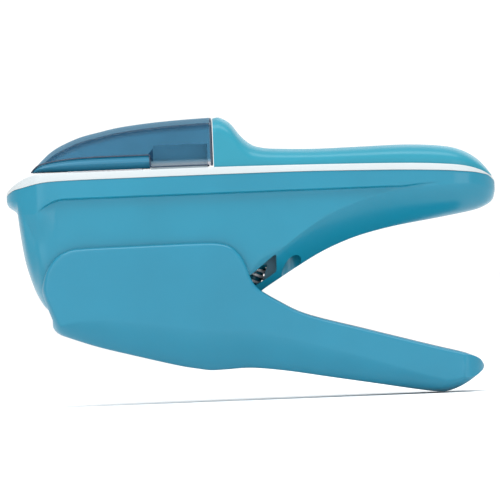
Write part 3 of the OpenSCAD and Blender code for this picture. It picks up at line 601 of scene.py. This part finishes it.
def make_handle():
    """A channel whose two side plates have a rolled underside and a softly rounded rim.

    Rings follow the side view's outline. They step inward over the rim and roll, and lie flat between.
    """
    top = even(smooth(HANDLE_TOP), 230)
    low = even(smooth([HANDLE_TOP[-1]] + HANDLE_LOW + [HANDLE_TOP[0]]), 210)
    outline = np.vstack([top[:-1], low[:-1]])
    ahead = np.roll(outline, -1, axis=0) - np.roll(outline, 1, axis=0)
    inward = np.column_stack([ahead[:, 1], -ahead[:, 0]])
    inward /= np.linalg.norm(inward, axis=1)[:, None]
    # 0 along the rim and 1 along the underside, with a soft change between them
    is_low = np.concatenate([np.zeros(len(top) - 1), np.ones(len(low) - 1)])
    blur, wrap = np.ones(25) / 25, 20
    weight = np.convolve(np.concatenate([is_low[-wrap:], is_low, is_low[:wrap]]), blur, "same")[wrap:-wrap]
    roll = np.interp(outline[:, 0], *np.array(HANDLE_ROLL).T)
    edge = np.interp(outline[:, 0], [62, HANDLE_TAIL], [1.2, 0.45])
    inset = edge + (roll - edge) * weight
    depth = 1.2 + 4.8 * weight
    depth *= np.interp(outline[:, 0], [60, HANDLE_TAIL], [1, 0.5])
    power = 1 + 0.3 * weight
    rings = []
    for a in np.linspace(0, math.pi / 2, 15):
        line = outline + inward * (inset * (1 - abs(math.cos(a)) ** power))[:, None]
        y = EAR_OUT - depth + depth * math.sin(a) ** power
        rings.append(np.column_stack([line[:, 0], y, line[:, 1]]))
    face = outline + inward * (inset + 0.6 * edge)[:, None]
    rings.append(np.column_stack([face[:, 0], np.full(len(face), EAR_OUT), face[:, 1]]))
    rings = [r * [1, -1, 1] for r in rings[::-1]] + rings
    handle = loft("squeeze_handle", rings)
    combine(handle, [handle_plan()], "INTERSECT")
    rings = []
    for x, underside, round_corner in even(smooth(HANDLE_HOLLOW, 5), 80):
        wide = rounded_half(x, EAR_IN, FAR_FRONT, 5, HANDLE_TAIL + 1.5, 9)
        floor = corner(wide, underside + HANDLE_FLOOR, round_corner, round_corner, 2, 9)
        rings.append(mirrored(x, np.vstack([[(wide, HANDLE_ABOVE)], floor])))
    hollow = loft("cutter", rings)
    lip = box_object((-60, LIP_END), (-17, 17), (-1, arc_z(LIP_END, LIP_ARC)))
    combine(hollow, [lip], "DIFFERENCE")
    between = (-EAR_IN, EAR_IN)
    (x, z), reach = PIVOT, 17.1
    cuts = [hollow, tube_object((x, -EAR_IN, z), (x, EAR_IN, z), LIP_ARC, 96),
            box_object((-75, -62.2), between, (-1, HANDLE_ABOVE)),
            box_object((-63, -53), between, (z - 7.6, HANDLE_ABOVE)),
            tube_object((x, -reach, z), (x, reach, z), PIN_HOLE + 0.025, 32)]
    combine(handle, cuts, "DIFFERENCE")
    under, seat, clear = spring_line(-SPRING_LENGTH - 1.4, -SPRING_LENGTH, -SPRING_LENGTH + 4)
    peg_low, peg_top = spring_line(-SPRING_LENGTH - 1.2, -SPRING_LENGTH + 3.2)
    combine(handle, [tube_object(seat, clear, SPRING_SEAT)], "DIFFERENCE")
    combine(handle, [tube_object(under, seat, SPRING_SEAT), tube_object(peg_low, peg_top, 2.5)], "UNION")
    return handle


# ---- springs ----
def spring_point(local):
    """Turns points measured from the return spring's top, Z along its coil, into the tool's frame."""
    c, s = math.cos(SPRING_LEAN), math.sin(SPRING_LEAN)
    x = SPRING_TOP[0] + local[:, 0] * c + local[:, 2] * s
    z = SPRING_TOP[1] - local[:, 0] * s + local[:, 2] * c
    return np.column_stack([x, local[:, 1], z])


def spring_line(*places):
    """Points on the return spring's axis, at distances above its top."""
    return spring_point(np.array([[0, 0, place] for place in places]))


def coil_line(radius, length, wire, turns, steps=26):
    """Centre line of a coil whose end turns lie close, from its top at zero down to -length."""
    t = np.linspace(0, 1, turns * steps + 1)
    end_turns, close_pitch = 1.2, wire * 1.05
    flat = end_turns / turns
    free = np.clip((t - flat) / (1 - 2 * flat), 0, 1)
    pitch_end = close_pitch * np.minimum(np.minimum(t, flat), 1 - np.maximum(t, 1 - flat)) * turns
    end = end_turns * close_pitch
    z = np.where(t < flat, pitch_end, np.where(t > 1 - flat, length - wire - pitch_end,
                                               end + (length - wire - 2 * end) * free))
    a = 2 * math.pi * turns * t
    return np.column_stack([radius * np.cos(a), radius * np.sin(a), -wire / 2 - z])


def unit(vectors):
    """The same directions, each one long."""
    return vectors / np.linalg.norm(vectors, axis=1)[:, None]


def sweep(name, line, side, up, wire, sides):
    """Round wire along a line, whose section is spanned by two directions at each point."""
    a = np.linspace(0, 2 * math.pi, sides, endpoint=False)[:, None]
    rings = [p + wire / 2 * (np.cos(a) * s + np.sin(a) * u) for p, s, u in zip(line, side, up)]
    return loft(name, rings, angle=60)


def wire_object(name, line, wire, sides=10):
    """Wire along a line that runs in the side view."""
    ahead = unit(np.gradient(line, axis=0))
    side = unit(np.cross(ahead, [0, 1, 0.001]))
    return sweep(name, line, side, np.cross(side, ahead), wire, sides)


def helix_object(name, line, middle, wire, sides=10):
    """Wire along a coil: each section is set across the coil's own radius."""
    ahead = unit(np.gradient(line, axis=0))
    out = line - middle
    out = unit(out - ahead * np.einsum("ij,ij->i", out, ahead)[:, None])
    return sweep(name, line, out, np.cross(ahead, out), wire, sides)


def make_return_spring():
    local = coil_line(SPRING_RADIUS, SPRING_LENGTH, SPRING_WIRE, SPRING_TURNS)
    middle = local * [0, 0, 1]
    return helix_object("return_coil", spring_point(local), spring_point(middle), SPRING_WIRE)


def make_carriage_springs():
    coils = []
    x, y, z = CARRIAGE_SPRING
    local = coil_line(1.75, CARRIAGE_SPRING_LENGTH, CARRIAGE_WIRE, 8, 20)
    for side, name in ((-1, "carriage_coil_left"), (1, "carriage_coil_right")):
        place = np.array([x, side * y, z])
        middle = local * [0, 0, 1] + place
        coils.append(helix_object(name, local + place, middle, CARRIAGE_WIRE, 8))
    return coils


# ---- materials ----
def node_material(name):
    """New material with a Principled shader wired to its output."""
    material = bpy.data.materials.new(name)
    material.use_nodes = True
    nodes, links = material.node_tree.nodes, material.node_tree.links
    nodes.clear()
    output = nodes.new("ShaderNodeOutputMaterial")
    shader = nodes.new("ShaderNodeBsdfPrincipled")
    links.new(shader.outputs["BSDF"], output.inputs["Surface"])
    return material, nodes, links, shader


def noise(nodes, links, scale, detail=3.0, stretch=(1, 1, 1)):
    """Noise in the object's own space, so it stays on the piece as it moves."""
    place = nodes.new("ShaderNodeTexCoord")
    mapping = nodes.new("ShaderNodeMapping")
    mapping.inputs["Scale"].default_value = stretch
    texture = nodes.new("ShaderNodeTexNoise")
    texture.inputs["Scale"].default_value = scale
    texture.inputs["Detail"].default_value = detail
    links.new(place.outputs["Object"], mapping.inputs["Vector"])
    links.new(mapping.outputs["Vector"], texture.inputs["Vector"])
    return texture.outputs["Fac"]


def blend_colour(nodes, links, factor, dark, light):
    """Colour ramp between two tones."""
    ramp = nodes.new("ShaderNodeValToRGB")
    ramp.color_ramp.elements[0].position = 0.3
    ramp.color_ramp.elements[1].position = 0.7
    ramp.color_ramp.elements[0].color = (*dark, 1)
    ramp.color_ramp.elements[1].color = (*light, 1)
    links.new(factor, ramp.inputs["Fac"])
    return ramp.outputs["Color"]


def remap(nodes, links, factor, low, high):
    """Stretches a factor to run from low to high."""
    span = nodes.new("ShaderNodeMapRange")
    span.inputs["To Min"].default_value = low
    span.inputs["To Max"].default_value = high
    links.new(factor, span.inputs["Value"])
    return span.outputs["Result"]


def add_bump(nodes, links, shader, factor, strength, distance):
    """Fine relief on the surface, with its depth in metres."""
    bump = nodes.new("ShaderNodeBump")
    bump.inputs["Strength"].default_value = strength
    bump.inputs["Distance"].default_value = distance
    links.new(factor, bump.inputs["Height"])
    links.new(bump.outputs["Normal"], shader.inputs["Normal"])


def plastic(name, colour, roughness, variation=0.05, coat=0.12):
    """Moulded plastic: faint clouding, a fine orange peel and slightly uneven gloss."""
    material, nodes, links, shader = node_material(name)
    dark = [c * (1 - variation) for c in colour]
    light = [min(1, c * (1 + variation)) for c in colour]
    clouds = noise(nodes, links, 38, 4)
    links.new(blend_colour(nodes, links, clouds, dark, light), shader.inputs["Base Color"])
    smears = noise(nodes, links, 95, 5, (1, 1, 0.4))
    links.new(remap(nodes, links, smears, roughness - 0.05, roughness + 0.07), shader.inputs["Roughness"])
    shader.inputs["IOR"].default_value = 1.5
    shader.inputs["Specular IOR Level"].default_value = 0.35
    shader.inputs["Coat Weight"].default_value = coat
    shader.inputs["Coat Roughness"].default_value = 0.12
    add_bump(nodes, links, shader, noise(nodes, links, 1400, 3), 0.08, 0.0001)
    return material


def step_along(nodes, links, space, low, high):
    """Rises from 0 to 1 with height, or with how far the surface faces upward."""
    place = nodes.new("ShaderNodeTexCoord")
    split = nodes.new("ShaderNodeSeparateXYZ")
    links.new(place.outputs[space], split.inputs["Vector"])
    span = nodes.new("ShaderNodeMapRange")
    span.inputs["From Min"].default_value = low
    span.inputs["From Max"].default_value = high
    links.new(split.outputs["Z"], span.inputs["Value"])
    return span.outputs["Result"]


def mix_colour(nodes, links, factor, base, colour):
    """Goes from the base to a plain colour as the factor rises."""
    mix = nodes.new("ShaderNodeMix")
    mix.data_type = "RGBA"
    colours = [socket for socket in mix.inputs if socket.type == "RGBA"]
    links.new(factor, mix.inputs["Factor"])
    links.new(base, colours[0])
    colours[1].default_value = (*colour, 1)
    return [socket for socket in mix.outputs if socket.type == "RGBA"][0]


def clear_plastic(name, colour, roughness, crown_painted_shade, foot_painted_light, skin):
    """Tinted see-through plastic, with painted shade that darkens it where it faces up over its top, and
    painted light in a clearer band along its lowest part (given as low z, high z, colour), so what lies
    behind there reads pale.

    The tint counts once for each surface that is looked through. The skin is what shines on top.
    """
    material, nodes, links, shader = node_material(name)
    haze = noise(nodes, links, 60, 3)
    dark = [c * 0.95 for c in colour]
    tint = blend_colour(nodes, links, haze, dark, colour)
    # Painted shade: the tint darkens to the crown colour where the surface faces upward.
    tint = mix_colour(nodes, links, step_along(nodes, links, "Normal", 0.1, 0.6), tint, crown_painted_shade)
    # Painted light: the tint clears in a band of height, so the white riser behind it reads pale.
    tint = mix_colour(nodes, links, step_along(nodes, links, "Object", foot_painted_light[1], foot_painted_light[0]), tint, foot_painted_light[2])
    shader.inputs["Base Color"].default_value = (*skin, 1)
    links.new(remap(nodes, links, haze, roughness, roughness + 0.03), shader.inputs["Roughness"])
    add_bump(nodes, links, shader, noise(nodes, links, 120, 2), 0.02, 0.0001)
    through = nodes.new("ShaderNodeBsdfTransparent")
    links.new(tint, through.inputs["Color"])
    mix = nodes.new("ShaderNodeMixShader")
    mix.inputs["Fac"].default_value = 0.16
    links.new(through.outputs["BSDF"], mix.inputs[1])
    links.new(shader.outputs["BSDF"], mix.inputs[2])
    links.new(mix.outputs["Shader"], nodes["Material Output"].inputs["Surface"])
    return material


def steel(name, colour, roughness, grain=(1, 18, 18), strength=0.12, metallic=1.0):
    """Brushed or drawn steel with fine lines along one way."""
    material, nodes, links, shader = node_material(name)
    lines = noise(nodes, links, 260, 6, grain)
    dark = [c * 0.86 for c in colour]
    links.new(blend_colour(nodes, links, lines, dark, colour), shader.inputs["Base Color"])
    links.new(remap(nodes, links, lines, roughness - 0.07, roughness + 0.1), shader.inputs["Roughness"])
    shader.inputs["Metallic"].default_value = metallic
    add_bump(nodes, links, shader, lines, strength, 0.00008)
    return material


teal = plastic("teal_plastic", (0.004, 0.164, 0.252), 0.3)
# A darker copy of the body's teal: painted shade on the jaw, which sits under the window.
teal_gloss_painted_shade = plastic("teal_gloss_plastic", (0.005, 0.125, 0.215), 0.16, 0.04, 0.4)
teal_handle = plastic("handle_plastic", (0.004, 0.156, 0.246), 0.34)
# A lighter copy of the teal: painted light from above on the grip, the piece on top.
teal_grip_painted_light = plastic("grip_plastic", (0.006, 0.196, 0.275), 0.42)
white = plastic("white_plastic", (0.42, 0.46, 0.475), 0.32, 0.015, 0.1)
# The crown colour is painted shade over the top, and the clear band at the foot is painted light on the
# riser seen through it.
smoke = clear_plastic("window_plastic", (0.555, 0.765, 0.865), 0.04, (0.27, 0.4, 0.5),
                      (0.0731, 0.0746, (1, 0.99, 1)), (0.02, 0.06, 0.1))
# Painted shade: a dark opaque plastic stands for the darkness seen along the clear cover's thick edges.
smoke_edge_painted_shade = plastic("window_edge_painted_shade", (0.005, 0.022, 0.05), 0.25, 0.1, 0.3)
plain_steel = steel("plain_steel", (0.62, 0.63, 0.66), 0.32)
blade_steel = steel("blade_steel", (0.5, 0.51, 0.54), 0.24, (18, 18, 1))
# Paler and only half metallic: painted light on the coils, which sit in shade inside the casing.
wire_steel_painted_light = steel("spring_wire", (0.8, 0.82, 0.85), 0.45, (6, 6, 6), 0.06, 0.5)
dark_steel = steel("blackened_steel", (0.16, 0.165, 0.18), 0.36, (8, 8, 8))


def dress(obj, material, slot, body, *replaced):
    """Gives a new piece its material and body, and hides the CAD parts it stands for. Its slot is not
    used.
    """
    obj.data.materials.clear()
    obj.data.materials.append(material)
    for polygon in obj.data.polygons:
        polygon.material_index = 0
    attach(obj, body)
    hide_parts(*replaced)
    return obj


dress(make_body(), teal, "teal_plastic", "body", "body_shell")
dress(make_rail(), white, "white_plastic", "body", "chassis_frame")
dress(make_grip(), teal_grip_painted_light, "teal_plastic", "body", "grip_cover")
dress(make_window(), smoke, "window", "body", "window_cover")
for edge in make_window_edges():
    dress(edge, smoke_edge_painted_shade, "window", "body", "window_cover")
dress(make_jaw(), teal_gloss_painted_shade, "teal_plastic", "body", "upper_jaw")
dress(make_handle(), teal_handle, "handle_plastic", "handle", "handle_shell")

spring = make_return_spring()
spring.data.materials.append(wire_steel_painted_light)
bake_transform(spring)
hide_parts("return_spring")
for coil in make_carriage_springs():
    coil.data.materials.append(wire_steel_painted_light)
    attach(coil, "body")
    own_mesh(coil)
    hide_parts("carriage_springs")

CAD_LOOKS = {
    "upper_die_plate": plain_steel, "lower_die_plate": plain_steel, "guide_frame": white,
    "handle_pivot_pin": plain_steel, "rocker_pivot_pin": plain_steel, "case_screws": dark_steel,
    "jaw_screws": dark_steel, "guide_screws": dark_steel, "drive_bracket": plain_steel,
    "drive_pin": plain_steel, "drive_pin_clips": dark_steel, "bracket_screws": dark_steel,
    "rocker_lever": plain_steel, "punch_carriage": plain_steel, "tongue_punch": blade_steel,
    "slit_blade": blade_steel, "crosshead_pin": plain_steel, "fold_arm": blade_steel,
    "fold_arm_pin": plain_steel,
}
for node, material in CAD_LOOKS.items():
    for material_slot in frame["nodes"][node].material_slots:
        material_slot.material = material

# ---- floor, light and camera ----
REACH = 12.0
floor_mesh = bpy.data.meshes.new("floor")
floor_mesh.from_pydata([(-REACH, -REACH, 0), (REACH, -REACH, 0), (REACH, REACH, 0), (-REACH, REACH, 0)],
                       [], [(0, 1, 2, 3)])
floor = bpy.data.objects.new("floor", floor_mesh)
floor.location.z = -0.0004
bpy.context.scene.collection.objects.link(floor)
floor_material, nodes, links, shader = node_material("floor_paper")
links.new(blend_colour(nodes, links, noise(nodes, links, 3), (0.93, 0.93, 0.93), (0.95, 0.95, 0.95)),
          shader.inputs["Base Color"])
shader.inputs["Roughness"].default_value = 0.95
shader.inputs["Specular IOR Level"].default_value = 0.1
floor.data.materials.append(floor_material)

bpy.context.scene.view_settings.view_transform = "Standard"
world = bpy.data.worlds.new("studio")
bpy.context.scene.world = world
world.use_nodes = True
world.node_tree.nodes["Background"].inputs["Color"].default_value = (1, 1, 1, 1)
world.node_tree.nodes["Background"].inputs["Strength"].default_value = 1.1


def area_light(name, place, target, size, power):
    """Soft square or rectangular lamp, aimed at a point."""
    data = bpy.data.lights.new(name, "AREA")
    data.shape = "RECTANGLE"
    data.size, data.size_y = size
    data.energy = power
    lamp = bpy.data.objects.new(name, data)
    lamp.location = place
    aim = Vector(target) - Vector(place)
    lamp.rotation_euler = aim.to_track_quat("-Z", "Y").to_euler()
    bpy.context.scene.collection.objects.link(lamp)


# Middle of the picture
CENTRE = (-0.0009, 0, 0.0457)
area_light("key", (-0.4, -0.95, 0.32), CENTRE, (0.7, 0.7), 2.6)
area_light("fill", (0.45, -0.9, 0.06), CENTRE, (0.7, 0.1), 0.9)
area_light("top", (0.0, -0.3, 0.75), CENTRE, (0.9, 0.4), 5)
area_light("back", (0.3, 0.6, 0.5), CENTRE, (0.6, 0.6), 1)

VIEW_WIDTH = 0.154
DISTANCE = 3.0
# The tool is seen slightly turned in its own plane, nose down
ROLL = math.radians(2.3)
camera_data = bpy.data.cameras.new("camera")
camera_data.sensor_width = 36
camera_data.lens = camera_data.sensor_width * DISTANCE / VIEW_WIDTH
camera_data.clip_end = 20
camera = bpy.data.objects.new("camera", camera_data)
camera.matrix_world = (Matrix.Translation((CENTRE[0], -DISTANCE, CENTRE[2]))
                       @ Matrix.Rotation(math.pi / 2, 4, "X") @ Matrix.Rotation(-ROLL, 4, "Z"))
bpy.context.scene.collection.objects.link(camera)
bpy.context.scene.camera = camera
